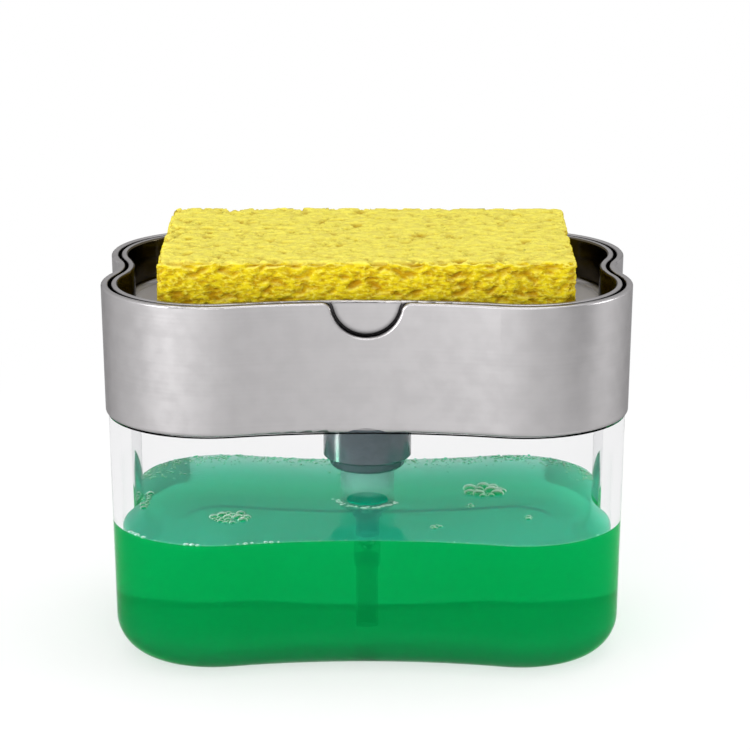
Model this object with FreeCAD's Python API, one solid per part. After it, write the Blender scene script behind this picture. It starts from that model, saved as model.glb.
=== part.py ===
# A soap pump caddy for the side of a sink.
# A clear soap reservoir with a lobed outline carries a silver collar. The collar holds a
# piston pump, and a tray plugs onto the pump stem. A sponge lies in the tray. Pressing
# the sponge drives the tray down inside the collar and lifts soap through the tray.
# Millimetres, +Z up. The origin is the middle of the base at table height, and the
# finger notch in the collar faces -Y.

import FreeCAD
import Part
import math
import os

# Lobed outline, measured at the rim
rim_width = 135.0
rim_depth = 90.0
rim_height = 97.5
lobe_radius = 28.0
end_arc_radius = 21.7
face_arc_radius = 144.0
draft_degrees = 1.1

# Reservoir
reservoir_step = 0.7
reservoir_wall = 2.4
base_thickness = 2.8
base_radius = 10.0
foot_width = 5.0
foot_recess = 0.8
lip_height = 3.9
lip_round = 0.3

# Soap in the reservoir
soap_below_nut = 9.5
soap_gap = 0.1
pump_pocket_gap = 0.3

# Collar
band_height = 33.5
collar_wall = 1.8
collar_rim_round = 0.5
collar_foot_round = 1.1
shadow_gap = 0.4
deck_thickness = 2.0
skirt_height = 3.4
skirt_wall = 1.2
lip_clearance = 0.3
well_floor = 2.0
well_wall = 2.0
well_clearance = 3.5
deck_rib_thickness = 1.4
deck_rib_depth = 3.0

# Finger notch in the collar, and the pry notch in its lower edge
notch_radius = 9.0
notch_depth = 9.0
notch_round = 2.4
pry_width = 10.8
pry_height = 1.25

# Tray
tray_gap = 0.8
tray_wall = 1.7
tray_depth = 12.0
tray_floor = 2.0
tray_foot_round = 3.0
tray_corner_round = 2.0
tray_rim_round = 0.5
tab_height = 0.3
tab_gap = 0.7
boss_length = 8.5
boss_wall = 2.6
tray_rib_thickness = 1.4
tray_rib_depth = 4.0

# Soap outlet in the tray
outlet_flange_radius = 5.6
outlet_flange = 1.0
outlet_tail_radius = 3.4
outlet_bore_radius = 1.3

# Sponge
sponge_end_gap = 7.4
sponge_face_gap = 2.6
sponge_thickness = 21.0
sponge_corner_radius = 2.5
sponge_edge_round = 1.6

# Pump stroke and fits
press_travel = 8.0
stop_clearance = 0.8
seat_clearance = 0.05
running_clearance = 0.1

# Pump stem
stem_radius = 3.0
stem_bore_radius = 1.6
stem_tail = 3.0
shoulder_radius = 5.6
shoulder_thickness = 1.5
spigot_radius = 4.0
spigot_length = 8.0
socket_clearance = 0.2
seal_groove_depth = 1.1
seal_height = 4.0

# Valve balls
outlet_ball_radius = 1.5
outlet_ball_lift = 1.2
inlet_ball_radius = 2.0
inlet_ball_lift = 1.2
ball_side_clearance = 0.4
throat_shares = {"outlet": 0.62, "inlet": 0.62}
retainer_radius = 2.7
retainer_thickness = 1.2
retainer_hole_radius = 0.55
retainer_hole_circle = 1.7
retainer_holes = 4

# Pump cylinder
flange_radius = 12.0
flange_thickness = 2.0
bore_radius = 5.7
barrel_wall = 1.4
neck_wall = 3.1
barrel_below_nut = 15.0
cone_height = 2.2
valve_wall = 1.4
valve_length = 7.0
valve_web = 1.5

# Stem guide
guide_flange_radius = 9.5
guide_flange = 1.2
guide_sleeve = 6.5

# Piston
piston_height = 6.0
piston_lip = 1.6
piston_waist = 0.7
piston_floor = 1.8

# Cage over the inlet ball
cage_thickness = 1.4
cage_pin_radius = 1.0
cage_hole_radius = 1.1
cage_hole_circle = 3.1
cage_holes = 4

# Return spring
spring_wire = 1.1
spring_side_clearance = 0.5
spring_seat_margin = 0.6
spring_turns = 5
samples_per_turn = 48

# Nut and gasket under and over the well floor
nut_radius = 11.6
nut_height = 14.0
nut_foot_height = 2.5
nut_foot_radius = 10.3
nut_foot_draw = 0.5
nut_floor = 2.2
nut_round = 0.6
gasket_thickness = 1.0

# Dip tube
dip_radius = 3.15
dip_wall = 0.65
dip_insert = 3.0
dip_foot_gap = 1.2

# Modelling allowances: overrun of cutting tools, and the sameness of two heights
overrun = 1.0
level_tolerance = 0.001

# Heights that follow from the sizes above
draft_slope = math.tan(math.radians(draft_degrees))
band_bottom = rim_height - band_height
shoulder_level = band_bottom - shadow_gap
lip_top = shoulder_level + lip_height
deck_bottom = lip_top
deck_top = deck_bottom + deck_thickness
tray_floor_level = rim_height - tray_depth
tray_bottom = tray_floor_level - tray_floor
boss_bottom = tray_bottom - boss_length
shoulder_bottom = boss_bottom - shoulder_thickness
guide_top = shoulder_bottom - press_travel - stop_clearance
flange_top = guide_top - guide_flange
flange_bottom = flange_top - flange_thickness
well_level = flange_bottom - gasket_thickness
well_bottom = well_level - well_floor
nut_bottom = well_bottom - nut_height
guide_bottom = flange_top - guide_sleeve
piston_top = guide_bottom - seat_clearance
piston_bottom = piston_top - piston_height
stem_bottom = piston_bottom - stem_tail
neck_bottom = nut_bottom + nut_floor + seat_clearance
soap_level = nut_bottom - soap_below_nut
barrel_bottom = nut_bottom - barrel_below_nut
cone_bottom = barrel_bottom - cone_height
valve_bottom = cone_bottom - valve_length
dip_top = valve_bottom + dip_insert
dip_bottom = base_thickness + dip_foot_gap

# Radii that follow
barrel_radius = bore_radius + barrel_wall
neck_radius = bore_radius + neck_wall
socket_radius = spigot_radius + socket_clearance
boss_radius = socket_radius + boss_wall
well_radius = flange_radius + well_clearance
inlet_chamber_radius = inlet_ball_radius + ball_side_clearance
outlet_chamber_radius = outlet_ball_radius + ball_side_clearance
valve_radius = max(inlet_chamber_radius + valve_wall, dip_radius + dip_wall)
piston_radius = bore_radius - seat_clearance
spring_radius = guide_flange_radius + spring_side_clearance + spring_wire / 2

# Insets from the outer face of the collar, which the draft carries down
lip_inset = collar_wall + lip_clearance
cavity_inset = reservoir_step + reservoir_wall
skirt_inset = cavity_inset + lip_clearance
tray_inset = collar_wall + tray_gap
tray_hollow_inset = tray_inset + tray_wall

# Centres and radii of the arcs in the lobed outline
lobe_x = rim_width / 2 - lobe_radius
lobe_y = rim_depth / 2 - lobe_radius
end_arc_x = lobe_x + math.sqrt((lobe_radius + end_arc_radius)**2 - lobe_y**2)
face_arc_y = lobe_y + math.sqrt((lobe_radius + face_arc_radius)**2 - lobe_x**2)
end_reach = end_arc_x - end_arc_radius
face_reach = face_arc_y - face_arc_radius


def drawn_in(z):
    """How far the draft has drawn the walls in at height z."""
    return (rim_height - z) * draft_slope


def outline(inset, z):
    """The lobed outline at height z, moved in by inset all round: eight tangent arcs."""
    radius = lobe_radius - inset
    lobe = FreeCAD.Vector(lobe_x, lobe_y, 0)
    to_end = FreeCAD.Vector(end_arc_x, 0, 0) - lobe
    to_face = FreeCAD.Vector(0, face_arc_y, 0) - lobe
    to_end.normalize()
    to_face.normalize()
    to_crown = to_end + to_face
    to_crown.normalize()
    at_end = lobe + to_end * radius
    at_face = lobe + to_face * radius
    at_crown = lobe + to_crown * radius
    end_middle = FreeCAD.Vector(end_reach - inset, 0, 0)
    face_middle = FreeCAD.Vector(0, face_reach - inset, 0)

    def flip_x(point):
        return FreeCAD.Vector(-point.x, point.y, 0)

    def flip_y(point):
        return FreeCAD.Vector(point.x, -point.y, 0)

    half = [
        (flip_y(at_end), end_middle, at_end),
        (at_end, at_crown, at_face),
        (at_face, face_middle, flip_x(at_face)),
        (flip_x(at_face), flip_x(at_crown), flip_x(at_end)),
    ]
    lift = FreeCAD.Vector(0, 0, z)
    edges = []
    for turn in (1, -1):
        for arc in half:
            points = [point * turn + lift for point in arc]
            edges.append(Part.Arc(*points).toShape())
    return Part.Wire(edges)


def lobed(bottom, top, inset):
    """A drafted solid of the lobed outline between two heights."""
    sections = [outline(inset + drawn_in(z), z) for z in (bottom, top)]
    return Part.makeLoft(sections, True, True)


def level_edges(solid, z):
    """The edges of a solid that lie flat at height z."""
    return [
        edge
        for edge in solid.Edges
        if all(abs(vertex.Point.z - z) < level_tolerance for vertex in edge.Vertexes)
    ]


def brink_edges(solid, z):
    """The long edges of the rim at height z and of the notch that opens in it."""
    edges = []
    for face in solid.Faces:
        flat = all(abs(vertex.Point.z - z) < level_tolerance for vertex in face.Vertexes)
        bent = isinstance(face.Surface, Part.Cylinder) and face.BoundBox.ZMax > z - notch_depth
        if flat or bent:
            for edge in face.Edges:
                ends = edge.Vertexes[-1].Point - edge.Vertexes[0].Point
                if abs(ends.x) > level_tolerance or len(edge.Vertexes) == 1:
                    edges.append(edge)
    unique = []
    for edge in edges:
        if not any(edge.isSame(other) for other in unique):
            unique.append(edge)
    return unique


def turned(profile):
    """A solid turned about the Z axis from (radius, height) corners."""
    points = [FreeCAD.Vector(radius, 0, z) for radius, z in profile]
    face = Part.Face(Part.makePolygon(points + points[:1]))
    return face.revolve(FreeCAD.Vector(0, 0, 0), FreeCAD.Vector(0, 0, 1), 360)


def rod(radius, bottom, top, x=0, y=0):
    """An upright cylinder between two heights."""
    return Part.makeCylinder(radius, top - bottom, FreeCAD.Vector(x, y, bottom))


def ring(outer, inner, bottom, top):
    """An upright tube between two heights."""
    return rod(outer, bottom, top).cut(rod(inner, bottom - overrun, top + overrun))


def on_circle(radius, count):
    """The (x, y) places of count things spread round a circle."""
    for index in range(count):
        turn = 2 * math.pi * index / count
        yield radius * math.cos(turn), radius * math.sin(turn)


def notch_prism(shrink, front, back):
    """The finger notch as a prism along Y: a round scoop with flared upper corners."""
    radius = notch_radius - shrink
    corner = notch_round + shrink
    middle_z = rim_height - notch_depth + notch_radius
    corner_z = rim_height - notch_round
    corner_x = math.sqrt((radius + corner)**2 - (corner_z - middle_z)**2)
    share = radius / (radius + corner)
    meet_x = corner_x * share
    meet_z = middle_z + (corner_z - middle_z) * share
    slope = math.atan2(middle_z - corner_z, corner_x)
    bend = (math.pi / 2 - slope) / 2 + slope
    bend_x = corner_x - corner * math.cos(bend)
    bend_z = corner_z + corner * math.sin(bend)
    open_z = corner_z + corner
    top_z = open_z + overrun

    def point(x, z):
        return FreeCAD.Vector(x, front, z)

    edges = [
        Part.Arc(point(-corner_x, open_z), point(-bend_x, bend_z), point(-meet_x, meet_z)),
        Part.Arc(point(-meet_x, meet_z), point(0, middle_z - radius), point(meet_x, meet_z)),
        Part.Arc(point(meet_x, meet_z), point(bend_x, bend_z), point(corner_x, open_z)),
        Part.LineSegment(point(corner_x, open_z), point(corner_x, top_z)),
        Part.LineSegment(point(corner_x, top_z), point(-corner_x, top_z)),
        Part.LineSegment(point(-corner_x, top_z), point(-corner_x, open_z)),
    ]
    face = Part.Face(Part.Wire([edge.toShape() for edge in edges]))
    return face.extrude(FreeCAD.Vector(0, back - front, 0))


def slab(length, thickness, bottom, top, along_y):
    """An upright rib through the Z axis, along X or along Y."""
    size = (thickness, length) if along_y else (length, thickness)
    corner = FreeCAD.Vector(-size[0] / 2, -size[1] / 2, bottom)
    return Part.makeBox(size[0], size[1], top - bottom, corner)


# Reservoir: a clear cup with a stepped lip that the collar drops over
reservoir_outer = lobed(0, shoulder_level, reservoir_step)
reservoir_outer = reservoir_outer.makeFillet(base_radius, level_edges(reservoir_outer, 0))
reservoir_lip = lobed(shoulder_level - overrun, lip_top, lip_inset)
reservoir_lip = reservoir_lip.makeFillet(lip_round, level_edges(reservoir_lip, lip_top))
reservoir_hollow = lobed(base_thickness, lip_top + overrun, cavity_inset)
reservoir_hollow = reservoir_hollow.makeFillet(
    base_radius - reservoir_wall, level_edges(reservoir_hollow, base_thickness)
)
foot_inset = reservoir_step + drawn_in(0) + base_radius + foot_width
foot_hollow = Part.Face(outline(foot_inset, -overrun)).extrude(
    FreeCAD.Vector(0, 0, foot_recess + overrun)
)
reservoir = reservoir_outer.fuse(reservoir_lip).removeSplitter()
reservoir = reservoir.cut(reservoir_hollow).cut(foot_hollow)

# Soap: fills the reservoir to its level and leaves room for the pump to lift out
soap_floor = base_thickness + soap_gap
soap = lobed(soap_floor, soap_level, cavity_inset + soap_gap)
soap = soap.makeFillet(base_radius - reservoir_wall, level_edges(soap, soap_floor))
soap_pocket = turned(
    [
        (0, soap_floor - overrun),
        (valve_radius + pump_pocket_gap, soap_floor - overrun),
        (valve_radius + pump_pocket_gap, cone_bottom - pump_pocket_gap),
        (barrel_radius + pump_pocket_gap, barrel_bottom - pump_pocket_gap),
        (barrel_radius + pump_pocket_gap, soap_level + overrun),
        (0, soap_level + overrun),
    ]
)
soap = soap.cut(soap_pocket)

# Collar: the band, the deck that rests on the reservoir lip, the skirt inside the lip
# and the well that the pump hangs in
collar = lobed(band_bottom, rim_height, 0)
collar = collar.makeFillet(collar_foot_round, level_edges(collar, band_bottom))
collar = collar.cut(lobed(deck_top, rim_height + overrun, collar_wall))
collar = collar.cut(lobed(band_bottom - overrun, deck_bottom, collar_wall))
skirt_bottom = deck_bottom - skirt_height
skirt = lobed(skirt_bottom, deck_bottom, skirt_inset)
skirt = skirt.cut(lobed(skirt_bottom - overrun, deck_bottom, skirt_inset + skirt_wall))
collar = collar.fuse(skirt)
well_outer = rod(well_radius + well_wall, well_bottom, deck_top)
rib_bottom = deck_bottom - deck_rib_depth
rib_length = 2 * (end_reach - drawn_in(rib_bottom) - skirt_inset)
rib_width = 2 * (face_reach - drawn_in(rib_bottom) - skirt_inset)
deck_ribs = slab(rib_length, deck_rib_thickness, rib_bottom, deck_bottom, False).fuse(
    slab(rib_width, deck_rib_thickness, rib_bottom, deck_bottom, True)
)
collar = collar.fuse(deck_ribs).fuse(well_outer)
collar = collar.cut(rod(well_radius, well_level, deck_top + overrun))
collar = collar.cut(rod(neck_radius + seat_clearance, well_bottom - overrun, well_level + overrun))
collar_front = -rim_depth / 2 - overrun
collar = collar.cut(notch_prism(0, collar_front, 0))
collar = collar.makeFillet(collar_rim_round, brink_edges(collar, rim_height))
pry_radius = ((pry_width / 2)**2 + pry_height**2) / (2 * pry_height)
pry_back = -(face_reach - drawn_in(band_bottom) - lip_inset)
pry_cut = Part.makeCylinder(
    pry_radius,
    pry_back - collar_front,
    FreeCAD.Vector(0, collar_front, band_bottom + pry_height - pry_radius),
    FreeCAD.Vector(0, 1, 0),
)
collar = collar.cut(pry_cut)

# Tray: a drafted dish that nests in the collar, with a tab behind the finger notch, a
# socket boss for the pump stem and a ring that the return spring pushes on
tray = lobed(tray_bottom, rim_height, tray_inset)
tray = tray.makeFillet(tray_foot_round, level_edges(tray, tray_bottom))
tray_hollow = lobed(tray_floor_level, rim_height + overrun, tray_hollow_inset)
tray_hollow = tray_hollow.makeFillet(
    tray_corner_round, level_edges(tray_hollow, tray_floor_level)
)
tray = tray.cut(tray_hollow)
tray = tray.makeFillet(tray_rim_round, level_edges(tray, rim_height))
tab_top = rim_height - tray_rim_round
tab = lobed(tray_bottom + tray_foot_round, tab_top, tray_inset - tab_height)
tab = tab.cut(lobed(tray_bottom, rim_height, tray_inset + tray_wall / 2))
tab = tab.common(notch_prism(tab_gap, -rim_depth / 2, 0))
tray = tray.fuse(tab)
tray_rib_bottom = tray_bottom - tray_rib_depth
tray_rib_ends = tray_inset + drawn_in(tray_bottom) + tray_foot_round
tray_ribs = slab(
    2 * (end_reach - tray_rib_ends), tray_rib_thickness, tray_rib_bottom, tray_bottom, False
).fuse(
    slab(2 * (face_reach - tray_rib_ends), tray_rib_thickness, tray_rib_bottom, tray_bottom, True)
)
spring_seat = ring(
    spring_radius + spring_wire / 2 + spring_seat_margin,
    spring_radius - spring_wire / 2 - spring_seat_margin,
    tray_rib_bottom,
    tray_bottom,
)
tray = tray.fuse(tray_ribs).fuse(spring_seat).fuse(rod(boss_radius, boss_bottom, tray_bottom))
tray = tray.cut(rod(socket_radius, boss_bottom - overrun, tray_bottom))
tray = tray.cut(
    rod(outlet_tail_radius + seat_clearance, tray_bottom - overrun, tray_floor_level + overrun)
)
outlet_seat = tray_floor_level - outlet_flange
tray = tray.cut(
    rod(outlet_flange_radius + seat_clearance, outlet_seat, tray_floor_level + overrun)
)

# Soap outlet: a flanged bush let in flush with the tray floor
outlet = rod(outlet_flange_radius, outlet_seat, tray_floor_level)
outlet = outlet.fuse(rod(outlet_tail_radius, tray_bottom, outlet_seat))
outlet = outlet.cut(rod(outlet_bore_radius, tray_bottom - overrun, tray_floor_level + overrun))

# Sponge: a block that lies in the tray with room at its ends and sides
sponge_length = 2 * (end_reach - tray_hollow_inset - drawn_in(tray_floor_level) - sponge_end_gap)
sponge_width = 2 * (face_reach - tray_hollow_inset - drawn_in(tray_floor_level) - sponge_face_gap)
sponge = Part.makeBox(
    sponge_length,
    sponge_width,
    sponge_thickness,
    FreeCAD.Vector(-sponge_length / 2, -sponge_width / 2, tray_floor_level),
)
sponge_uprights = [
    edge
    for edge in sponge.Edges
    if abs(edge.Vertexes[0].Point.z - edge.Vertexes[-1].Point.z) > level_tolerance
]
sponge = sponge.makeFillet(sponge_corner_radius, sponge_uprights)
sponge_top = tray_floor_level + sponge_thickness
sponge = sponge.makeFillet(
    sponge_edge_round,
    level_edges(sponge, sponge_top) + level_edges(sponge, tray_floor_level),
)

# Pump cylinder: flange on the gasket, neck for the nut, barrel, and the valve neck that
# takes the ball and the dip tube
inlet_throat_radius = inlet_ball_radius * throat_shares["inlet"]
inlet_seat_level = dip_top + valve_web
inlet_seat_top = inlet_seat_level + inlet_chamber_radius - inlet_throat_radius
inner_cone_top = barrel_bottom + barrel_wall
inner_cone_bottom = inner_cone_top - bore_radius + inlet_chamber_radius
cylinder = turned(
    [
        (bore_radius, flange_top),
        (flange_radius, flange_top),
        (flange_radius, flange_bottom),
        (neck_radius, flange_bottom),
        (neck_radius, neck_bottom),
        (barrel_radius, neck_bottom),
        (barrel_radius, barrel_bottom),
        (valve_radius, cone_bottom),
        (valve_radius, valve_bottom),
        (dip_radius + seat_clearance, valve_bottom),
        (dip_radius + seat_clearance, dip_top),
        (inlet_throat_radius, dip_top),
        (inlet_throat_radius, inlet_seat_level),
        (inlet_chamber_radius, inlet_seat_top),
        (inlet_chamber_radius, inner_cone_bottom),
        (bore_radius, inner_cone_top),
    ]
)

# Inlet ball: rests on the cone at the foot of the barrel
inlet_ball_level = (
    inlet_seat_level - inlet_throat_radius + inlet_ball_radius * math.sqrt(2) + seat_clearance
)
inlet_ball = Part.makeSphere(inlet_ball_radius, FreeCAD.Vector(0, 0, inlet_ball_level))

# Cage: a pierced disc with a pin that limits the lift of the inlet ball
cage_top = inner_cone_top + cage_thickness
pin_bottom = inlet_ball_level + inlet_ball_radius + inlet_ball_lift + seat_clearance
cage = rod(bore_radius - seat_clearance, inner_cone_top, cage_top)
cage = cage.fuse(rod(cage_pin_radius, pin_bottom, cage_top))
for x, y in on_circle(cage_hole_circle, cage_holes):
    cage = cage.cut(rod(cage_hole_radius, inner_cone_top - overrun, cage_top + overrun, x, y))

# Dip tube: from the valve neck down to the reservoir floor
dip_tube = ring(dip_radius, dip_radius - dip_wall, dip_bottom, dip_top - seat_clearance)

# Nut: clamps the pump under the well floor
nut_foot_top = nut_bottom + nut_foot_height
nut = turned(
    [
        (neck_radius + seat_clearance, well_bottom),
        (nut_radius - nut_round, well_bottom),
        (nut_radius, well_bottom - nut_round),
        (nut_radius, nut_foot_top + nut_round),
        (nut_radius - nut_round, nut_foot_top),
        (nut_foot_radius, nut_foot_top),
        (nut_foot_radius - nut_foot_draw, nut_bottom + nut_round),
        (nut_foot_radius - nut_foot_draw - nut_round, nut_bottom),
        (barrel_radius + running_clearance, nut_bottom),
        (barrel_radius + running_clearance, nut_bottom + nut_floor),
        (neck_radius + seat_clearance, nut_bottom + nut_floor),
    ]
)

# Gasket: between the pump flange and the well floor
gasket = ring(flange_radius, neck_radius + seat_clearance, well_level, flange_bottom)

# Stem guide: caps the barrel and steers the stem
guide = rod(guide_flange_radius, flange_top, guide_top)
guide = guide.fuse(rod(bore_radius - seat_clearance, guide_bottom, flange_top))
guide = guide.cut(rod(stem_radius + running_clearance, guide_bottom - overrun, guide_top + overrun))

# Stem: a hollow rod with a shoulder under the tray boss and a spigot in its socket
outlet_throat_radius = outlet_ball_radius * throat_shares["outlet"]
spigot_top = boss_bottom + spigot_length
retainer_bottom = spigot_top - retainer_thickness
outlet_ball_rise = outlet_ball_radius * (1 + math.sqrt(2)) - outlet_throat_radius
outlet_seat_level = retainer_bottom - outlet_ball_lift - 2 * seat_clearance - outlet_ball_rise
outlet_seat_top = outlet_seat_level + outlet_chamber_radius - outlet_throat_radius
throat_bottom = outlet_seat_level - outlet_throat_radius
groove_radius = spigot_radius - seal_groove_depth
seal_section = socket_radius - seat_clearance - groove_radius
seal_level = boss_bottom + seal_height
groove_bottom = seal_level - seal_section / 2 - seat_clearance
groove_top = seal_level + seal_section / 2 + seat_clearance
stem = turned(
    [
        (stem_bore_radius, stem_bottom),
        (stem_radius, stem_bottom),
        (stem_radius, shoulder_bottom),
        (shoulder_radius, shoulder_bottom),
        (shoulder_radius, boss_bottom),
        (spigot_radius, boss_bottom),
        (spigot_radius, groove_bottom),
        (groove_radius, groove_bottom),
        (groove_radius, groove_top),
        (spigot_radius, groove_top),
        (spigot_radius, spigot_top),
        (retainer_radius + seat_clearance, spigot_top),
        (retainer_radius + seat_clearance, retainer_bottom),
        (outlet_chamber_radius, retainer_bottom),
        (outlet_chamber_radius, outlet_seat_top),
        (outlet_throat_radius, outlet_seat_level),
        (outlet_throat_radius, throat_bottom),
        (stem_bore_radius, throat_bottom),
    ]
)

# Seal ring on the spigot
seal = Part.makeTorus(
    groove_radius + seal_section / 2, seal_section / 2, FreeCAD.Vector(0, 0, seal_level)
)

# Outlet ball and the slotted disc that keeps it in the spigot
outlet_ball_level = (
    outlet_seat_level - outlet_throat_radius + outlet_ball_radius * math.sqrt(2) + seat_clearance
)
outlet_ball = Part.makeSphere(outlet_ball_radius, FreeCAD.Vector(0, 0, outlet_ball_level))
retainer = rod(retainer_radius, retainer_bottom, spigot_top)
for x, y in on_circle(retainer_hole_circle, retainer_holes):
    retainer = retainer.cut(
        rod(retainer_hole_radius, retainer_bottom - overrun, spigot_top + overrun, x, y)
    )

# Piston: a spool with a lip at each end, fixed on the stem
piston_hole = stem_radius + seat_clearance
piston = turned(
    [
        (piston_hole, piston_bottom),
        (piston_radius, piston_bottom),
        (piston_radius, piston_bottom + piston_lip),
        (piston_radius - piston_waist, piston_bottom + piston_floor),
        (piston_radius - piston_waist, piston_top - piston_floor),
        (piston_radius, piston_top - piston_lip),
        (piston_radius, piston_top),
        (piston_hole, piston_top),
    ]
)


def biarc(start, start_way, end, end_way):
    """Two arcs that join two points and meet smoothly, with the tangents given."""
    gap = end - start
    ways = start_way + end_way
    a = 4 - ways.dot(ways)
    b = 2 * gap.dot(ways)
    c = -gap.dot(gap)
    reach = (-b + math.sqrt(b * b - 4 * a * c)) / (2 * a)
    first_corner = start + start_way * reach
    last_corner = end - end_way * reach
    join = (first_corner + last_corner) / 2
    arcs = []
    for near, corner, far in ((start, first_corner, join), (join, last_corner, end)):
        chord_middle = (near + far) / 2
        height = (corner - chord_middle).Length
        half_chord = (far - near).Length / 2
        rise = half_chord * math.tan(math.atan2(height, half_chord) / 2)
        outward = corner - chord_middle
        outward.normalize()
        arcs.append(Part.Arc(near, chord_middle + outward * rise, far).toShape())
    return arcs


# Return spring: an open helix round the stem guide, from the pump flange to the tray
spring_bottom = flange_top + spring_wire / 2 + seat_clearance
spring_top = tray_rib_bottom - spring_wire / 2 - seat_clearance
spring_pitch = (spring_top - spring_bottom) / spring_turns
arcs_per_turn = 4
steps = spring_turns * arcs_per_turn
rise_share = spring_pitch / (2 * math.pi * spring_radius)
spring_points = []
spring_ways = []
for step in range(steps + 1):
    turn = 2 * math.pi * step / arcs_per_turn
    spring_points.append(
        FreeCAD.Vector(
            spring_radius * math.cos(turn),
            spring_radius * math.sin(turn),
            spring_bottom + spring_pitch * step / arcs_per_turn,
        )
    )
    way = FreeCAD.Vector(-math.sin(turn), math.cos(turn), rise_share)
    way.normalize()
    spring_ways.append(way)
spring_edges = []
for step in range(steps):
    spring_edges += biarc(
        spring_points[step], spring_ways[step], spring_points[step + 1], spring_ways[step + 1]
    )
spring_path = Part.Wire(spring_edges)
spring_section = Part.Wire(
    [Part.Circle(spring_points[0], spring_ways[0], spring_wire / 2).toShape()]
)
spring_pipe = Part.BRepOffsetAPI.MakePipeShell(spring_path)
spring_pipe.add(spring_section)
spring_pipe.build()
spring_pipe.makeSolid()
spring = spring_pipe.shape()
spring_samples = spring_path.discretize(Number=spring_turns * samples_per_turn)
half_turn = samples_per_turn // 2
least_reach = min(
    (spring_samples[later] - spring_samples[earlier]).Length
    for earlier in range(len(spring_samples))
    for later in range(earlier + half_turn, len(spring_samples))
)
print("return spring, least gap to itself:", round(least_reach - spring_wire, 3))

os.makedirs("parts", exist_ok=True)
pieces = {
    "reservoir": reservoir,
    "soap_fill": soap,
    "collar": collar,
    "pump_nut": nut,
    "pump_gasket": gasket,
    "pump_cylinder": cylinder,
    "stem_guide": guide,
    "ball_cage": cage,
    "inlet_ball": inlet_ball,
    "dip_tube": dip_tube,
    "return_spring": spring,
    "pump_stem": stem,
    "piston": piston,
    "stem_seal": seal,
    "outlet_ball": outlet_ball,
    "ball_retainer": retainer,
    "tray": tray,
    "soap_outlet": outlet,
    "sponge": sponge,
}
for node, shape in pieces.items():
    print(node, len(shape.Solids), "solid", round(shape.Volume, 1), shape.isValid())
    shape.exportStep("parts/" + node + ".step")
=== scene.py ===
# Looks of a soap pump caddy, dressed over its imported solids.
# Metres, +Z up, in the same frame as the solids. The finger notch faces -Y.

import math

import bpy
import numpy as np
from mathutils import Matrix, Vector, kdtree, noise

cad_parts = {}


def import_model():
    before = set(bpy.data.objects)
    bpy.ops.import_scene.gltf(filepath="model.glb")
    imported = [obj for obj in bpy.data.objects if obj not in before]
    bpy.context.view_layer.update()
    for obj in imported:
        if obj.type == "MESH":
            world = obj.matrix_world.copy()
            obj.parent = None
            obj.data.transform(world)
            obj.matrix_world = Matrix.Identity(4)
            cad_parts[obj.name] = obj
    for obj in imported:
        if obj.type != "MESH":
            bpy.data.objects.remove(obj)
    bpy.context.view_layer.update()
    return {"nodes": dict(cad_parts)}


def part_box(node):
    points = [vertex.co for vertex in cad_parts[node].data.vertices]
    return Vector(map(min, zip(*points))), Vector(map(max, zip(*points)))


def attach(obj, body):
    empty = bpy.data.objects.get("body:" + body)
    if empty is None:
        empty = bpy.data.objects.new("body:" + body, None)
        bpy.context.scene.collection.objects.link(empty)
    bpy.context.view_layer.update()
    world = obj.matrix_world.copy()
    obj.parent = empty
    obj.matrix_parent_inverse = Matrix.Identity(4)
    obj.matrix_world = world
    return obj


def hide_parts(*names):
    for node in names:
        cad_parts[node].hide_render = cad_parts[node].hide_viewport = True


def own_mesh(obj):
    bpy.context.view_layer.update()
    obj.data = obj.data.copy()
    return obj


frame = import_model()

# Camera, from a fit to the outlines in the photograph
camera_place = (0.004695, -0.802874, 0.282427)
camera_target = (0.00202, 0.0, 0.06844)
camera_lens = 152.684
camera_sensor = 36.0

# Lobed outline of the caddy, measured at the rim
lobe_radius = 0.028
end_arc_radius = 0.0217
face_arc_radius = 0.144
draft_degrees = 1.1
arc_steps = {"end": 10, "lobe": 36, "face": 20}

# Walls of the reservoir, and the round at its foot inside
reservoir_step = 0.0007
reservoir_wall = 0.0024
base_thickness = 0.0028
foot_round = 0.0076

# Soap: it reaches a little into the walls, so that no air shows between them
soap_overlap = 0.0002
soap_edge = 0.00005
soap_wall_steps = 6
soap_round_steps = 12
barrel_soap_steps = 48

# How strongly clear pieces bend light
bending = {"clear_plastic": 1.49, "soap": 1.36, "pump_in_air": 1.2, "pump_in_soap": 1.02}

# Clear surfaces mirror this power of what plain glass does
wall_mirror_power = 2.2
soap_mirror_power = 1.7

# Share of cloud in the soap, at its sides, at its top and seen from inside
soap_cloud_shares = {"side": 0.5, "top": 0.4, "inside": 0.4}

# The pump's plastic turns from clear to milky between these heights above the soap
milk_start = 0.002
milk_full = 0.005

# Return spring
spring_turns = 5
spring_wire = 0.0011
spring_side_steps = 12
spring_steps_per_turn = 40

# Sponge: voxel size of its mesh, then its pits, fibres and unevenness
sponge_voxel = 0.00047
pit_count = 9000
pit_half_lengths = (0.0005, 0.0024)
pit_half_widths = (0.0004, 0.0011)
pit_depths = (0.0003, 0.0016)
pit_tilt = 0.35
fibre_height = 0.0003
fibre_cycles = (300.0, 300.0, 800.0)
swell_height = 0.0003
swell_cycles = (45.0, 45.0, 45.0)
sponge_seed = 7

# Foam on the soap: place, half width, half depth, number of bubbles and largest radius of each patch
foam_patches = {
    "foam_left": (-0.0357, -0.0173, 0.0050, 0.0044, 40, 0.0015),
    "foam_right": (0.0310, 0.0068, 0.0050, 0.0046, 34, 0.0022),
    "foam_right_small": (0.0269, -0.0066, 0.0020, 0.0016, 7, 0.0010),
    "foam_end_left": (-0.0590, -0.0020, 0.0014, 0.0075, 26, 0.0013),
    "foam_front_right": (0.0175, -0.0248, 0.0016, 0.0012, 5, 0.0008),
    "foam_lobe_right": (0.0419, -0.0170, 0.0018, 0.0014, 6, 0.0008),
}
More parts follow.
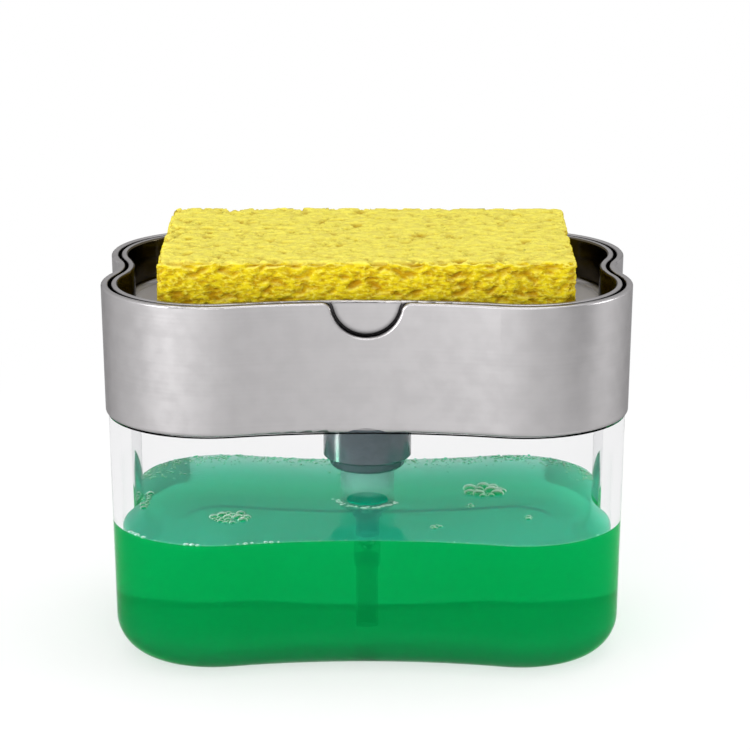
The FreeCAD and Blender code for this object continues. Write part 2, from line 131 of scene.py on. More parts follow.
# Foam against the front wall: places along X, half width and number of bubbles
foam_front_places = (-0.0572, -0.0438, -0.0306, -0.0238)
foam_front_half = 0.0019
foam_front_count = 9
foam_front_radius = 0.00055
# Foam round the front of the pump barrel
foam_ring_radius = 0.0083
foam_ring_count = 46
foam_ring_turns = (-0.97, -0.03)
foam_ring_bubble = 0.0005
# Fine froth along the front edge of the soap
foam_line_count = 150
foam_line_radii = (0.0001, 0.0002)
# Fine bubbles along the back edge of the soap, fewer farther from the wall
foam_back_count = 900
foam_back_radii = (0.00015, 0.0005)
foam_back_reach = 0.0022
# Bubbles: least radius, how near two may come in radii, tries to place each, and their mesh
least_bubble = 0.00025
bubble_spacing = 0.75
bubble_tries = 30
bubble_segments = 14
bubble_flatness = 0.6
film_edge_power = 1.6
froth_edge_power = 0.6
foam_seed = 11

# Painted shade: gaps narrower than this are painted dark in the silver coat, but less so at the foot of
# the collar
painted_shade_reach = 0.002
painted_shade_opening = (0.68, 0.93)
band_height = 0.0335
band_foot_fade = 0.004
band_foot_share = 0.4

# The floor of the tray lies this far below its rim, and curves up by this much at its edge
tray_depth = 0.012
dish_floor_round = 0.003

# A face looks inward, or up, between these limits: slope times distance from the axis, or slope
inward_limits = (-0.02, -0.006)
upward_limits = (0.35, 0.8)

# Surroundings, and a floor whose shadow fades out between two distances
world_fill = 0.6
floor_albedo = 0.8
floor_size = 12.0
floor_drop = 0.0003
shadow_fade = (0.06, 0.3)
least_glow_share = 0.55

# Lamps: place, width, height and power in watts
lamp_target = (0.0, 0.0, 0.06)
soft_boxes = {
    "soft_box_left": ((-0.75, -0.75, 0.24), 0.75, 0.4, 7.5),
    "soft_box_low": ((-0.07, -0.45, 0.05), 0.30, 0.08, 0.09),
    "soft_box_front": ((0.05, -1.0, 0.75), 0.8, 0.4, 3.0),
    "soft_box_right": ((1.0, -0.05, 0.25), 0.4, 0.4, 3.2),
    "soft_box_top": ((0.1, 0.2, 1.3), 0.9, 0.7, 5.0),
}
soap_lamp = ((0.8, -0.35, 0.1), 0.3, 0.2, 4.5)
nut_lamp = ((-0.12, -0.016, 0.03), 0.01, 0.06, 2.2)

# Dark card on the right: where its foot stands, its size and how bright it looks
flag_place = (0.31, -0.175)
flag_width = 0.19
flag_height = 0.30
flag_glow = 0.35

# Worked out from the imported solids
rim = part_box("collar")[1]
lobe_x = rim.x - lobe_radius
lobe_y = rim.y - lobe_radius
end_arc_x = lobe_x + math.sqrt((lobe_radius + end_arc_radius)**2 - lobe_y**2)
face_arc_y = lobe_y + math.sqrt((lobe_radius + face_arc_radius)**2 - lobe_x**2)
soap_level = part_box("soap_fill")[1].z


def empty_material(name):
    """A new node material with nothing in it yet, and its node tree."""
    material = bpy.data.materials.new(name)
    material.use_nodes = True
    material.node_tree.nodes.clear()
    return material, material.node_tree


def add(tree, kind, sockets=None, **settings):
    """A new node. Each socket is set to a value or linked to another node's socket."""
    node = tree.nodes.new(kind)
    for key, value in settings.items():
        setattr(node, key, value)
    for key, value in (sockets or {}).items():
        if isinstance(value, bpy.types.NodeSocket):
            tree.links.new(value, node.inputs[key])
        else:
            node.inputs[key].default_value = value
    return node


def finish_material(tree, surface, volume=None):
    """Joins a surface, and a volume if there is one, to the material's output."""
    output = add(tree, "ShaderNodeOutputMaterial", {"Surface": surface})
    if volume is not None:
        tree.links.new(volume, output.inputs["Volume"])


def grain(tree, cycles, detail=4.0):
    """Fractal noise over the piece. Cycles are per metre along X, Y and Z."""
    place = add(tree, "ShaderNodeTexCoord").outputs["Object"]
    scaled = add(tree, "ShaderNodeMapping", {"Vector": place, "Scale": cycles}).outputs[0]
    sockets = {"Vector": scaled, "Scale": 1.0, "Detail": detail}
    return add(tree, "ShaderNodeTexNoise", sockets).outputs[0]


def math_node(tree, operation, first, second):
    """The result of a sum, product, power or the like."""
    return add(tree, "ShaderNodeMath", {0: first, 1: second}, operation=operation).outputs[0]


def spread(tree, value, low, high, from_low=0.3, from_high=0.7):
    """A value moved from one range to another and kept inside it."""
    sockets = {0: value, 1: from_low, 2: from_high, 3: low, 4: high}
    return add(tree, "ShaderNodeMapRange", sockets).outputs[0]


def tint(tree, value, dark, light, start=0.3, end=0.7):
    """A colour between two others, by a value."""
    ramp = add(tree, "ShaderNodeValToRGB", {"Fac": value})
    ramp.color_ramp.elements[0].position = start
    ramp.color_ramp.elements[0].color = (*dark, 1.0)
    ramp.color_ramp.elements[1].position = end
    ramp.color_ramp.elements[1].color = (*light, 1.0)
    return ramp.outputs["Color"]


def blend_values(tree, share, first, second):
    """Two numbers mixed by a share."""
    sockets = {0: share, 2: first, 3: second}
    return add(tree, "ShaderNodeMix", sockets, data_type="FLOAT").outputs[0]


def blend_colours(tree, share, first, second):
    """Two colours mixed by a share."""
    mix = add(tree, "ShaderNodeMix", data_type="RGBA")
    for index, value in ((0, share), (6, first), (7, second)):
        if isinstance(value, bpy.types.NodeSocket):
            tree.links.new(value, mix.inputs[index])
        else:
            mix.inputs[index].default_value = (*value, 1.0)
    return mix.outputs[2]


def relief(tree, height, strength, distance):
    """A normal from a height."""
    sockets = {"Height": height, "Strength": strength, "Distance": distance}
    return add(tree, "ShaderNodeBump", sockets).outputs["Normal"]


def mix_shaders(tree, share, first, second):
    """Two shaders mixed by a share."""
    return add(tree, "ShaderNodeMixShader", {0: share, 1: first, 2: second}).outputs[0]


def z_of(tree, vector):
    """The Z part of a vector."""
    return add(tree, "ShaderNodeSeparateXYZ", {0: vector}).outputs["Z"]


def facing_in(tree):
    """1 on walls that face the Z axis, and 0 elsewhere."""
    geometry = add(tree, "ShaderNodeNewGeometry").outputs
    sockets = {0: geometry["Position"], 1: (1.0, 1.0, 0.0)}
    from_axis = add(tree, "ShaderNodeVectorMath", sockets, operation="MULTIPLY").outputs[0]
    sockets = {0: from_axis, 1: geometry["Normal"]}
    outward = add(tree, "ShaderNodeVectorMath", sockets, operation="DOT_PRODUCT").outputs["Value"]
    return spread(tree, outward, 1.0, 0.0, *inward_limits)


def facing_up(tree):
    """1 on level faces that look up, and 0 on walls."""
    normal = add(tree, "ShaderNodeNewGeometry").outputs["Normal"]
    return spread(tree, z_of(tree, normal), 0.0, 1.0, *upward_limits)


def see_through(tree, ior, roughness, normal, power, colour=(1.0, 1.0, 1.0), cloud=0.0, matt=None):
    """A clear surface that bends light, and mirrors more of it the more aslant it is met.

    A share of cloud mixes a matt shader into it.
    """
    sockets = {"Color": (*colour, 1.0), "Roughness": roughness, "IOR": ior, "Normal": normal}
    body = add(tree, "ShaderNodeBsdfRefraction", sockets).outputs[0]
    if matt is not None:
        body = mix_shaders(tree, cloud, body, matt)
    slant = add(tree, "ShaderNodeFresnel", {"IOR": ior, "Normal": normal}).outputs[0]
    mirrored = math_node(tree, "POWER", slant, power)
    sockets = {"Color": (1.0, 1.0, 1.0, 1.0), "Roughness": roughness, "Normal": normal}
    mirror = add(tree, "ShaderNodeBsdfAnisotropic", sockets).outputs[0]
    return mix_shaders(tree, mirrored, body, mirror)


def lets_lamps_through(tree, surface, shade):
    """A see-through surface that lamps shine through, dimmed by a shade."""
    rays = add(tree, "ShaderNodeLightPath")
    clear = add(tree, "ShaderNodeBsdfTransparent", {"Color": (*shade, 1.0)}).outputs[0]
    return mix_shaders(tree, rays.outputs["Is Shadow Ray"], surface, clear)


def satin_silver(name, dish):
    """Satin silver coat, with painted shade in its narrow gaps. A dish is more polished inside, with a
    painted reflection that darkens its inner walls and painted light on its matt floor.
    """
    material, tree = empty_material(name)
    streaks = grain(tree, (6.0, 6.0, 1800.0))
    specks = grain(tree, (260.0, 260.0, 260.0), 8.0)
    mottle = blend_values(tree, 0.7, streaks, specks)
    colour = tint(tree, mottle, (0.42, 0.407, 0.412), (0.44, 0.427, 0.432), 0.4, 0.6)
    roughness = spread(tree, mottle, 0.34, 0.38, 0.4, 0.6)
    metallic = 1.0
    height = z_of(tree, add(tree, "ShaderNodeTexCoord").outputs["Object"])
    if dish:
        inside = facing_in(tree)
        floor_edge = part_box("tray")[1].z - tray_depth + dish_floor_round
        low = spread(tree, height, 1.0, 0.0, floor_edge, floor_edge + dish_floor_round)
        up = math_node(tree, "MULTIPLY", facing_up(tree), low)
        # Painted reflection: a dish's inner walls are dark brown, standing in for the dark things they
        # mirror
        colour = blend_colours(tree, inside, colour, (0.10, 0.085, 0.06))
        # Painted light: the dish's floor is a lighter, less metallic grey, so that it shows bright as if
        # lit from above
        colour = blend_colours(tree, up, colour, (0.6, 0.585, 0.6))
        roughness = blend_values(tree, inside, roughness, 0.18)
        metallic = spread(tree, up, 1.0, 0.2, 0.0, 1.0)
    # Painted shade: near-black is mixed into the coat where ambient occlusion finds a narrow gap
    crevice = add(tree, "ShaderNodeAmbientOcclusion", {"Distance": painted_shade_reach}, samples=8).outputs["AO"]
    band_foot = rim.z - band_height
    painted_shade_strength = spread(tree, height, band_foot_share, 1.0, band_foot, band_foot + band_foot_fade)
    shade = math_node(tree, "MULTIPLY", spread(tree, crevice, 1.0, 0.0, *painted_shade_opening), painted_shade_strength)
    colour = blend_colours(tree, shade, colour, (0.008, 0.007, 0.008))
    surface = add(
        tree,
        "ShaderNodeBsdfPrincipled",
        {
            "Base Color": colour,
            "Metallic": metallic,
            "Roughness": roughness,
            "Specular Tint": (0.4, 0.4, 0.4, 1.0),
            "Normal": relief(tree, mottle, 0.02, 0.0001),
        },
    )
    finish_material(tree, surface.outputs[0])
    return material


def clear_plastic(name):
    """Clear moulded plastic, a little grey where light runs far inside the wall."""
    material, tree = empty_material(name)
    flow = grain(tree, (60.0, 60.0, 25.0), 2.0)
    normal = relief(tree, flow, 0.015, 0.0005)
    roughness = spread(tree, flow, 0.0, 0.02)
    surface = see_through(tree, bending["clear_plastic"], roughness, normal, wall_mirror_power)
    grey = add(tree, "ShaderNodeVolumeAbsorption", {"Color": (0.3, 0.3, 0.34, 1.0), "Density": 32.0})
    finish_material(tree, lets_lamps_through(tree, surface, (0.9, 0.92, 0.92)), grey.outputs[0])
    return material


def green_soap(name):
    """Green washing-up liquid, a little cloudy, with painted shade that darkens its sides towards the
    bottom and a painted reflection that makes its top paler.
    """
    material, tree = empty_material(name)
    ripple = grain(tree, (70.0, 70.0, 70.0), 1.0)
    normal = relief(tree, ripple, 0.03, 0.0005)
    geometry = add(tree, "ShaderNodeNewGeometry").outputs
    rise = spread(tree, z_of(tree, geometry["Position"]), 0.0, 1.0, 0.0, soap_level)
    top = facing_up(tree)
    # Painted shade: the soap's sides are darker towards the bottom
    side = blend_colours(tree, rise, (0.0, 0.275, 0.05), (0.0, 0.375, 0.088))
    # Painted reflection: faces that look up are a pale mint, standing in for what the soap's top mirrors
    colour = blend_colours(tree, top, side, (0.03, 0.60, 0.44))
    front = add(tree, "ShaderNodeBsdfDiffuse", {"Color": colour}).outputs[0]
    back = add(tree, "ShaderNodeBsdfTranslucent", {"Color": (0.7, 0.95, 0.85, 1.0)}).outputs[0]
    matt = mix_shaders(tree, geometry["Backfacing"], front, back)
    cloud = spread(tree, top, soap_cloud_shares["side"], soap_cloud_shares["top"], 0.0, 1.0)
    cloud = blend_values(tree, geometry["Backfacing"], cloud, soap_cloud_shares["inside"])
    sockets = (0.02, normal, soap_mirror_power)
    surface = see_through(tree, bending["soap"], *sockets, cloud=cloud, matt=matt)
    dye = add(tree, "ShaderNodeVolumeAbsorption", {"Color": (0.02, 0.867, 0.644, 1.0), "Density": 90.0})
    finish_material(tree, lets_lamps_through(tree, surface, (0.85, 0.97, 0.9)), dye.outputs[0])
    return material


def still_soap(name):
    """Soap in the shade of the pump barrel: a deep, cloudy green."""
    material, tree = empty_material(name)
    cloud = grain(tree, (300.0, 300.0, 300.0))
    colour = tint(tree, cloud, (0.0, 0.36, 0.20), (0.0, 0.42, 0.24))
    finish_material(tree, add(tree, "ShaderNodeBsdfDiffuse", {"Color": colour}).outputs[0])
    return material


def moulded(name, dark, light, roughness):
    """Moulded plastic or rubber with a faint mottle and a fine skin."""
    material, tree = empty_material(name)
    mottle = grain(tree, (420.0, 420.0, 420.0))
    surface = add(
        tree,
        "ShaderNodeBsdfPrincipled",
        {
            "Base Color": tint(tree, mottle, dark, light),
            "Roughness": spread(tree, mottle, roughness * 0.85, roughness * 1.15),
            "Normal": relief(tree, mottle, 0.03, 0.0002),
        },
    )
    finish_material(tree, surface.outputs[0])
    return material


def pump_plastic(name):
    """Natural plastic: milky in air, where its milk is tinted green by painted light from the soap,
    clearer where soap wets it, and all but clear in soap.
    """
    material, tree = empty_material(name)
    haze = grain(tree, (160.0, 160.0, 90.0))
    normal = relief(tree, haze, 0.02, 0.0004)
    roughness = spread(tree, haze, 0.02, 0.08)
    height = z_of(tree, add(tree, "ShaderNodeNewGeometry").outputs["Position"])
    # Painted light: the milky plastic is tinted green, standing in for green light from the soap below
    milk_with_painted_green = tint(tree, haze, (0.18, 0.39, 0.335), (0.225, 0.445, 0.39))
    matt = add(tree, "ShaderNodeBsdfDiffuse", {"Color": milk_with_painted_green}).outputs[0]
    cloud = spread(tree, height, 0.02, 0.35, soap_level + milk_start, soap_level + milk_full)
    sockets = (roughness, normal, wall_mirror_power)
    dry = see_through(tree, bending["pump_in_air"], *sockets, cloud=cloud, matt=matt)
    wet = see_through(tree, bending["pump_in_soap"], *sockets, colour=(0.74, 0.81, 0.79))
    above = spread(tree, height, 0.0, 1.0, soap_level, soap_level + soap_overlap)
    surface = mix_shaders(tree, above, wet, dry)
    finish_material(tree, lets_lamps_through(tree, surface, (0.85, 0.88, 0.87)))
    return material


def steel(name):
    """Drawn stainless wire and polished balls."""
    material, tree = empty_material(name)
    drawn = grain(tree, (900.0, 900.0, 900.0))
    surface = add(
        tree,
        "ShaderNodeBsdfPrincipled",
        {
            "Base Color": tint(tree, drawn, (0.5, 0.5, 0.51), (0.66, 0.66, 0.67)),
            "Metallic": 1.0,
            "Roughness": spread(tree, drawn, 0.18, 0.32),
        },
    )
    finish_material(tree, surface.outputs[0])
    return material


def cellulose(name):
    """Yellow cellulose: golden fibrous walls, a top made pale by painted light and pits made ochre by
    painted shade.
    """
    material, tree = empty_material(name)
    depth = add(tree, "ShaderNodeAttribute", attribute_name="pit").outputs["Fac"]
    fibres = grain(tree, (420.0, 420.0, 1300.0), 6.0)
    patches = grain(tree, (120.0, 120.0, 260.0), 3.0)
    crumbs = grain(tree, (1100.0, 1100.0, 1700.0), 3.0)
    wall = tint(tree, fibres, (0.41, 0.235, 0.002), (0.73, 0.585, 0.011), 0.38, 0.58)
    wall = blend_colours(tree, spread(tree, patches, 0.0, 0.4), wall, (0.70, 0.55, 0.008))
    wall = blend_colours(tree, spread(tree, crumbs, 0.0, 0.7, 0.5, 0.7), wall, (0.84, 0.76, 0.10))
    # Painted light: faces that look up are paler, as if lit from above
    wall = blend_colours(tree, math_node(tree, "MULTIPLY", facing_up(tree), 0.6), wall, (0.87, 0.81, 0.17))
    # Painted shade: the deeper a point lies in a pit, the darker ochre it is
    deep = blend_colours(tree, spread(tree, depth, 0.0, 0.85, 0.2, 0.8), wall, (0.40, 0.20, 0.001))
    height = math_node(tree, "ADD", fibres, crumbs)
    surface = add(
        tree,
        "ShaderNodeBsdfPrincipled",
        {
            "Base Color": deep,
            "Roughness": 0.95,
            "Specular IOR Level": 0.12,
            "Normal": relief(tree, height, 0.7, 0.0005),
        },
    )
    finish_material(tree, surface.outputs[0])
    return material


def bubble_film(name, edge_power):
    """Thin soap film: deep green and clear in the middle, and white round its edge."""
    material, tree = empty_material(name)
    slant = add(tree, "ShaderNodeLayerWeight", {"Blend": 0.5}).outputs["Facing"]
    edge = math_node(tree, "POWER", slant, edge_power)
    swirl = grain(tree, (600.0, 600.0, 600.0))
    film = add(
        tree,
        "ShaderNodeBsdfPrincipled",
        {
            "Base Color": tint(tree, swirl, (0.8, 0.92, 0.87), (0.97, 0.98, 0.97)),
            "Roughness": 0.15,
        },
    )
    clear = add(tree, "ShaderNodeBsdfTransparent", {"Color": (0.25, 0.9, 0.68, 1.0)})
    finish_material(tree, mix_shaders(tree, edge, clear.outputs[0], film.outputs[0]))
    return material


def new_piece(name, mesh, material, body):
    """A smooth piece that rides on a body and takes its finish from a slot."""
    mesh.materials.clear()
    mesh.materials.append(material)
    mesh.polygons.foreach_set("use_smooth", [True] * len(mesh.polygons))
    mesh.update()
    piece = bpy.data.objects.new(name, mesh)
    bpy.context.scene.collection.objects.link(piece)
    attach(piece, body)
    return piece


def mesh_of(name, points, faces):
    """A mesh from points and faces."""
    mesh = bpy.data.meshes.new(name)
    mesh.from_pydata([tuple(point) for point in points], [], faces)
    return mesh


def outline(inset):
    """Points round the lobed outline, moved in by inset, anticlockwise from +X."""
    end_turn = math.atan2(lobe_y, lobe_x - end_arc_x)
    face_turn = math.atan2(lobe_y - face_arc_y, lobe_x)
    arcs = (
        ((end_arc_x, 0.0), end_arc_radius + inset, math.pi, end_turn, "end"),
        ((lobe_x, lobe_y), lobe_radius - inset, end_turn - math.pi, face_turn + math.pi, "lobe"),
        ((0.0, face_arc_y), face_arc_radius + inset, face_turn, -math.pi / 2, "face"),
    )
    quarter = []
    for centre, radius, start, end, kind in arcs:
        for turn in np.linspace(start, end, arc_steps[kind], endpoint=False):
            quarter.append((centre[0] + radius * math.cos(turn), centre[1] + radius * math.sin(turn)))
    quarter = np.array(quarter + [(0.0, face_arc_y - face_arc_radius - inset)])
    sides = [
        quarter[:-1],
        (quarter * (-1, 1))[:0:-1],
        -quarter[:-1],
        (quarter * (1, -1))[:0:-1],
    ]
    return np.concatenate(sides)


def cavity_inset(z):
    """Inset of the reservoir's inner wall at height z."""
    return reservoir_step + reservoir_wall + (rim.z - z) * math.tan(math.radians(draft_degrees))


def level_ring(points, z):
    """A ring of flat points at height z."""
    return np.column_stack([points, np.full(len(points), z)])


def closed_faces(rings):
    """Faces from each ring to the next, all of equal length, and a cap at each end."""
    count = len(rings[0])
    last = count * (len(rings) - 1)
    faces = []
    for low in range(0, last, count):
        for step in range(count):
            after = (step + 1) % count
            faces.append((low + step, low + after, low + count + after, low + count + step))
    return faces + [tuple(range(count))[::-1], tuple(range(last, last + count))]


def closed_mesh(name, rings):
    """A closed mesh skinned over rings."""
    return mesh_of(name, np.concatenate(rings), closed_faces(rings))


def soap_piece():
    """Soap that fills the reservoir up to its level."""
    floor = base_thickness - soap_overlap
    rings = []
    for turn in np.linspace(0.0, math.pi / 2, soap_round_steps):
        z = floor + foot_round * (1 - math.cos(turn))
        inset = cavity_inset(z) - soap_overlap + foot_round * (1 - math.sin(turn))
        rings.append(level_ring(outline(inset), z))
    heights = np.linspace(floor + foot_round, soap_level - soap_edge, soap_wall_steps + 1)[1:]
    for z in (*heights, soap_level):
        rings.append(level_ring(outline(cavity_inset(z) - soap_overlap), z))
    rings.append(level_ring(outline(cavity_inset(soap_level) - soap_overlap + soap_edge), soap_level))
    mesh = closed_mesh("soap", rings)
    piece = new_piece("soap", mesh, green_soap("green_soap_look"), "reservoir")
    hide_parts("soap_fill")


def barrel_soap_piece():
    """Soap that the pump barrel holds over its inlet valve, just above the level of the rest."""
    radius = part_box("piston")[1].x - soap_overlap
    turns = np.linspace(0.0, 2 * math.pi, barrel_soap_steps, endpoint=False)
    circle = np.column_stack([np.cos(turns), np.sin(turns)])
    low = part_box("ball_cage")[1].z
    high = soap_level + soap_overlap
    places = ((radius - soap_edge, low), (radius, low), (radius, high), (radius - soap_edge, high))
    mesh = closed_mesh("barrel_soap", [level_ring(circle * reach, z) for reach, z in places])
    new_piece("barrel_soap", mesh, still_soap("barrel_soap_look"), "head")


def spring_piece():
    """Open helix of wire for the return spring, which in the real caddy shortens as the tray is pressed;
    this helix is built at its rest length.
    """
    low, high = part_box("return_spring")
    radius = high.x - spring_wire / 2
    rise = (high.z - low.z - spring_wire) / spring_turns
    sides = np.linspace(0.0, 2 * math.pi, spring_side_steps, endpoint=False)
    rings = []
    for step in range(spring_turns * spring_steps_per_turn + 1):
        turn = 2 * math.pi * step / spring_steps_per_turn
        out = np.array((math.cos(turn), math.sin(turn), 0.0))
        way = np.array((-math.sin(turn) * radius, math.cos(turn) * radius, rise / (2 * math.pi)))
        up = np.cross(out, way / np.linalg.norm(way))
        middle = out * radius
        middle[2] = low.z + spring_wire / 2 + rise * turn / (2 * math.pi)
        ring = [middle + spring_wire / 2 * (out * math.cos(side) + up * math.sin(side)) for side in sides]
        rings.append(np.array(ring))
    mesh = closed_mesh("spring_wire", rings)
    piece = new_piece("spring_wire", mesh, steel("steel_wire"), "head")
    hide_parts("return_spring")
    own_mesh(piece)


def even_mesh(node, voxel):
    """A copy of a node's shape with even small faces."""
    block = bpy.data.objects.new(node + "_copy", frame["nodes"][node].data.copy())
    bpy.context.scene.collection.objects.link(block)
    remesh = block.modifiers.new("even", "REMESH")
    remesh.mode = "VOXEL"
    remesh.voxel_size = voxel
    bpy.context.view_layer.update()
    mesh = bpy.data.meshes.new_from_object(block.evaluated_get(bpy.context.evaluated_depsgraph_get()))
    bpy.data.objects.remove(block)
    return mesh


def vertex_values(mesh, name):
    """A vector of each vertex, as rows."""
    values = np.empty(len(mesh.vertices) * 3)
    mesh.vertices.foreach_get(name, values)
    return values.reshape(-1, 3)


def between(limits, share):
    """The value at a share of the way between two limits."""
    return limits[0] + (limits[1] - limits[0]) * share


def pits(points, normals):
    """How deep each point lies in the open pits of the sponge. Pits are stretched along its sides."""
    tree = kdtree.KDTree(len(points))
    for index, point in enumerate(points):
        tree.insert(point, index)
    tree.balance()
    random = np.random.default_rng(sponge_seed)
    sunk = np.zeros(len(points))
    for _ in range(pit_count):
        index = int(random.integers(len(points)))
        size = random.random()**3
        half_length = between(pit_half_lengths, size)
        half_width = between(pit_half_widths, size * random.uniform(0.5, 1.0))
        depth = between(pit_depths, size**0.5 * random.uniform(0.4, 1.0))
        normal = normals[index]
        along = np.cross((0.0, 0.0, 1.0), normal)
        if np.linalg.norm(along) < 0.5:
            along = np.array((1.0, 0.0, 0.0))
        tilt = random.normal(0.0, pit_tilt)
        long_way = along * math.cos(tilt) + np.cross(normal, along) * math.sin(tilt)
        short_way = np.cross(normal, long_way)
        near = np.array([found[1] for found in tree.find_range(points[index], half_length)])
        offset = points[near] - points[index]
        inside = 1.0 - (offset @ long_way / half_length)**2 - (offset @ short_way / half_width)**2
        sunk[near] = np.maximum(sunk[near], depth * np.sqrt(np.clip(inside, 0.0, 1.0)))
    return sunk


def roughened(points, cycles, octaves):
    """Fractal noise at each point, from about 0 to 1."""
    values = [noise.fractal(Vector(point * cycles), 0.9, 2.2, octaves) for point in points]
    return np.clip(0.5 - 0.5 * np.array(values), 0.0, 1.0)


def sponge_piece():
    """Cellulose block with open pits and fibres, lying in the tray."""
    mesh = even_mesh("sponge", sponge_voxel)
    points = vertex_values(mesh, "co")
    normals = vertex_values(mesh, "normal")
    pit = pits(points, normals)
    sunk = pit + fibre_height * roughened(points, fibre_cycles, 4)
    sunk += swell_height * roughened(points, swell_cycles, 2)
    mesh.vertices.foreach_set("co", (points - normals * sunk[:, None]).ravel())
    depth = mesh.attributes.new("pit", "FLOAT", "POINT")
    depth.data.foreach_set("value", np.clip(pit / pit_depths[1], 0.0, 1.0))
    piece = new_piece("sponge_block", mesh, cellulose("cellulose_look"), "sponge")
    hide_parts("sponge")


def foam_piece(name, bubbles, film):
    """A patch of flattened bubbles, given as places and radii, that float on the soap."""
    rings = []
    for rise in np.linspace(-math.pi / 2, math.pi / 2, bubble_segments // 2 + 1)[1:-1]:
        turns = np.linspace(0.0, 2 * math.pi, bubble_segments, endpoint=False)
        ring = np.column_stack([np.cos(turns), np.sin(turns)]) * math.cos(rise)
        rings.append(level_ring(ring, bubble_flatness * math.sin(rise)))
    points = np.concatenate(rings)
    faces = closed_faces(rings)
    all_points = []
    all_faces = []
    for index, ((x, y), radius) in enumerate(bubbles):
        all_points.append(points * radius + (x, y, soap_level))
        all_faces += [tuple(corner + index * len(points) for corner in face) for face in faces]
    new_piece(name, mesh_of(name, np.concatenate(all_points), all_faces), film, "reservoir")


def packed_bubbles(random, place, half_width, half_depth, count, largest):
    """Bubbles of many sizes that crowd together in an oval and overlap only a little."""
    bubbles = []
    radii = least_bubble + (largest - least_bubble) * random.uniform(0.0, 1.0, count)**2
    for radius in sorted(radii)[::-1]:
        for _ in range(bubble_tries):
            turn = random.uniform(0.0, 2 * math.pi)
            reach = math.sqrt(random.random())
            spot = (
                place[0] + half_width * reach * math.cos(turn),
                place[1] + half_depth * reach * math.sin(turn),
            )
            if all(math.dist(spot, other) > bubble_spacing * (radius + size) for other, size in bubbles):
                bubbles.append((spot, radius))
                break
    return bubbles


def foam():
    """Patches of foam on the soap, along its edge and round the pump."""
    random = np.random.default_rng(foam_seed)
    film = bubble_film("bubble_film", film_edge_power)
    froth = bubble_film("froth_film", froth_edge_power)
    for name, (x, y, half_width, half_depth, count, largest) in foam_patches.items():
        foam_piece(name, packed_bubbles(random, (x, y), half_width, half_depth, count, largest), film)
    wall = outline(cavity_inset(soap_level) + foam_front_radius)
    front = wall[wall[:, 1] < 0]
    for index, x in enumerate(foam_front_places):
        bubbles = []
        for offset in random.uniform(-foam_front_half, foam_front_half, foam_front_count):
            spot = front[np.argmin(abs(front[:, 0] - x - offset))]
            spot = spot + random.normal(0.0, foam_front_radius / 4, 2)
            bubbles.append((spot, random.uniform(least_bubble, foam_front_radius)))
        foam_piece("foam_front_" + str(index + 1), bubbles, froth)
    bubbles = []
    for turn in random.uniform(*foam_ring_turns, foam_ring_count) * math.pi:
        reach = foam_ring_radius + random.normal(0.0, foam_ring_bubble)
        spot = (reach * math.cos(turn), reach * math.sin(turn))
        bubbles.append((spot, random.uniform(least_bubble, foam_ring_bubble)))
    foam_piece("foam_pump", bubbles, froth)
    edge = outline(cavity_inset(soap_level) + foam_line_radii[1])
    edge = edge[edge[:, 1] < -lobe_y]
    spots = edge[random.integers(len(edge), size=foam_line_count)]
    spots = spots + random.normal(0.0, foam_line_radii[1], spots.shape)
    foam_piece("foam_line", list(zip(spots, random.uniform(*foam_line_radii, foam_line_count))), froth)
    bubbles = []
    for reach in random.exponential(foam_back_reach, foam_back_count):
        edge = outline(cavity_inset(soap_level) + foam_back_radii[1] + reach)
        back = edge[edge[:, 1] > lobe_y]
        spot = back[random.integers(len(back))] + random.normal(0.0, foam_back_radii[1], 2)
        bubbles.append((spot, random.uniform(*foam_back_radii)))
    foam_piece("foam_back", bubbles, film)


def dress_nodes():
    """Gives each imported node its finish."""
    white = moulded("white_plastic_look", (0.72, 0.74, 0.73), (0.84, 0.85, 0.84), 0.4)
    slate = moulded("slate_plastic_look", (0.058, 0.076, 0.09), (0.072, 0.092, 0.108), 0.09)
    rubber = moulded("seal_rubber_look", (0.02, 0.02, 0.022), (0.045, 0.045, 0.047), 0.65)
    tray_silver = satin_silver("tray_silver_look", True)
    bright = steel("steel_ball")
    pump = pump_plastic("pump_plastic_look")
    looks = {
        "reservoir": clear_plastic("clear_plastic_look"),
        "collar": satin_silver("satin_silver_look", False),
        "tray": tray_silver,
        "soap_outlet": tray_silver,
        "pump_nut": slate,
        "stem_guide": slate,
        "pump_gasket": rubber,
        "stem_seal": rubber,
        "pump_cylinder": pump,
        "dip_tube": pump,
        "pump_stem": white,
        "ball_cage": white,
        "ball_retainer": white,
        "piston": white,
        "inlet_ball": bright,
        "outlet_ball": bright,
    }
    for node, look in looks.items():
        frame["nodes"][node].material_slots[0].material = look


def seen_directly(tree):
    """1 for what the camera sees, by itself, in a mirror or through glass, and 0 for other light."""
    rays = add(tree, "ShaderNodeLightPath").outputs
    seen = math_node(tree, "MAXIMUM", rays["Is Camera Ray"], rays["Is Transmission Ray"])
    return math_node(tree, "MAXIMUM", seen, rays["Is Glossy Ray"])


def card(name, corners, material):
    """A four-cornered card that belongs to the stage and not to the part."""
    mesh = mesh_of(name, corners, [(0, 1, 2, 3)])
    mesh.materials.append(material)
    piece = bpy.data.objects.new(name, mesh)
    bpy.context.scene.collection.objects.link(piece)
    return piece


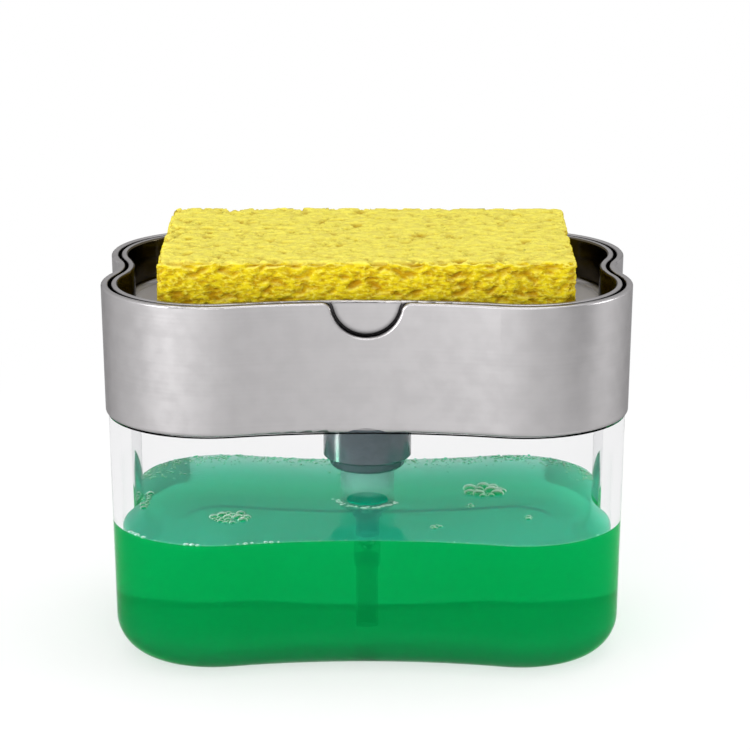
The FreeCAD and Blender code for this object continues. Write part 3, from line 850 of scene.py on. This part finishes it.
def floor():
    """Pale floor: white to the camera, with the caddy's soft shadow."""
    material, tree = empty_material("floor_look")
    place = add(tree, "ShaderNodeNewGeometry").outputs["Position"]
    reach = add(tree, "ShaderNodeVectorMath", {0: place}, operation="LENGTH").outputs["Value"]
    away = spread(tree, reach, least_glow_share, 1.0, *shadow_fade)
    matt = add(tree, "ShaderNodeBsdfDiffuse", {"Color": (floor_albedo, floor_albedo, floor_albedo, 1.0)})
    bright = add(tree, "ShaderNodeBsdfDiffuse", {"Color": (1.0, 1.0, 1.0, 1.0)})
    glow = add(tree, "ShaderNodeEmission", {"Color": (1.0, 1.0, 1.0, 1.0), "Strength": 1.0})
    shown = mix_shaders(tree, away, bright.outputs[0], glow.outputs[0])
    finish_material(tree, mix_shaders(tree, seen_directly(tree), matt.outputs[0], shown))
    half = floor_size / 2
    corners = [(-half, -half), (half, -half), (half, half), (-half, half)]
    card("floor", [(x, y, -floor_drop) for x, y in corners], material)


def world():
    """White surroundings that light matt surfaces more softly than they look."""
    surroundings = bpy.data.worlds.new("studio")
    surroundings.use_nodes = True
    tree = surroundings.node_tree
    tree.nodes.clear()
    strength = spread(tree, seen_directly(tree), world_fill, 1.0, 0.0, 1.0)
    back = add(tree, "ShaderNodeBackground", {"Color": (1.0, 1.0, 1.0, 1.0), "Strength": strength})
    add(tree, "ShaderNodeOutputWorld", {"Surface": back.outputs[0]})
    bpy.context.scene.world = surroundings


def lamp(name, place, width, height, power, target=lamp_target):
    """A soft box that points at a target."""
    light = bpy.data.lights.new(name, "AREA")
    light.shape = "RECTANGLE"
    light.size = width
    light.size_y = height
    light.energy = power
    holder = bpy.data.objects.new(name, light)
    holder.location = place
    holder.rotation_euler = (Vector(target) - Vector(place)).to_track_quat("-Z", "Y").to_euler()
    bpy.context.scene.collection.objects.link(holder)
    return holder


def lights_only(light, piece):
    """Lets a lamp light one piece alone."""
    lit = bpy.data.collections.new("lit_by_" + light.name)
    lit.objects.link(piece)
    light.light_linking.receiver_collection = lit


def lights():
    """Soft boxes on the left, in front, on the right and overhead, and one each for soap and nut."""
    for name, measures in soft_boxes.items():
        lamp(name, *measures)
    side = lamp("soft_box_soap", *soap_lamp)
    side.visible_glossy = False
    lights_only(side, bpy.data.objects["soap"])
    low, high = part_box("pump_nut")
    strip = lamp("strip", *nut_lamp, target=(low + high) / 2)
    strip.visible_diffuse = False
    lights_only(strip, frame["nodes"]["pump_nut"])


def flag():
    """A dark card on the right that shows only in shiny surfaces."""
    material, tree = empty_material("flag_look")
    dark = add(tree, "ShaderNodeEmission", {"Color": (1.0, 1.0, 1.0, 1.0), "Strength": flag_glow})
    finish_material(tree, dark.outputs[0])
    across = Vector((-flag_place[1], flag_place[0], 0.0)).normalized() * flag_width / 2
    foot = Vector((*flag_place, 0.0))
    up = Vector((0.0, 0.0, flag_height))
    corners = [foot - across, foot + across, foot + across + up, foot - across + up]
    piece = card("flag", corners, material)
    piece.visible_camera = False
    piece.visible_diffuse = False
    piece.visible_transmission = False
    piece.visible_shadow = False


def camera():
    """The photograph's camera."""
    data = bpy.data.cameras.new("camera")
    data.lens = camera_lens
    data.sensor_width = camera_sensor
    holder = bpy.data.objects.new("camera", data)
    holder.location = camera_place
    way = Vector(camera_target) - Vector(camera_place)
    holder.rotation_euler = way.to_track_quat("-Z", "Y").to_euler()
    bpy.context.scene.collection.objects.link(holder)
    bpy.context.scene.camera = holder


dress_nodes()
soap_piece()
barrel_soap_piece()
spring_piece()
sponge_piece()
foam()
floor()
world()
lights()
flag()
camera()
bpy.context.scene.view_settings.view_transform = "Standard"
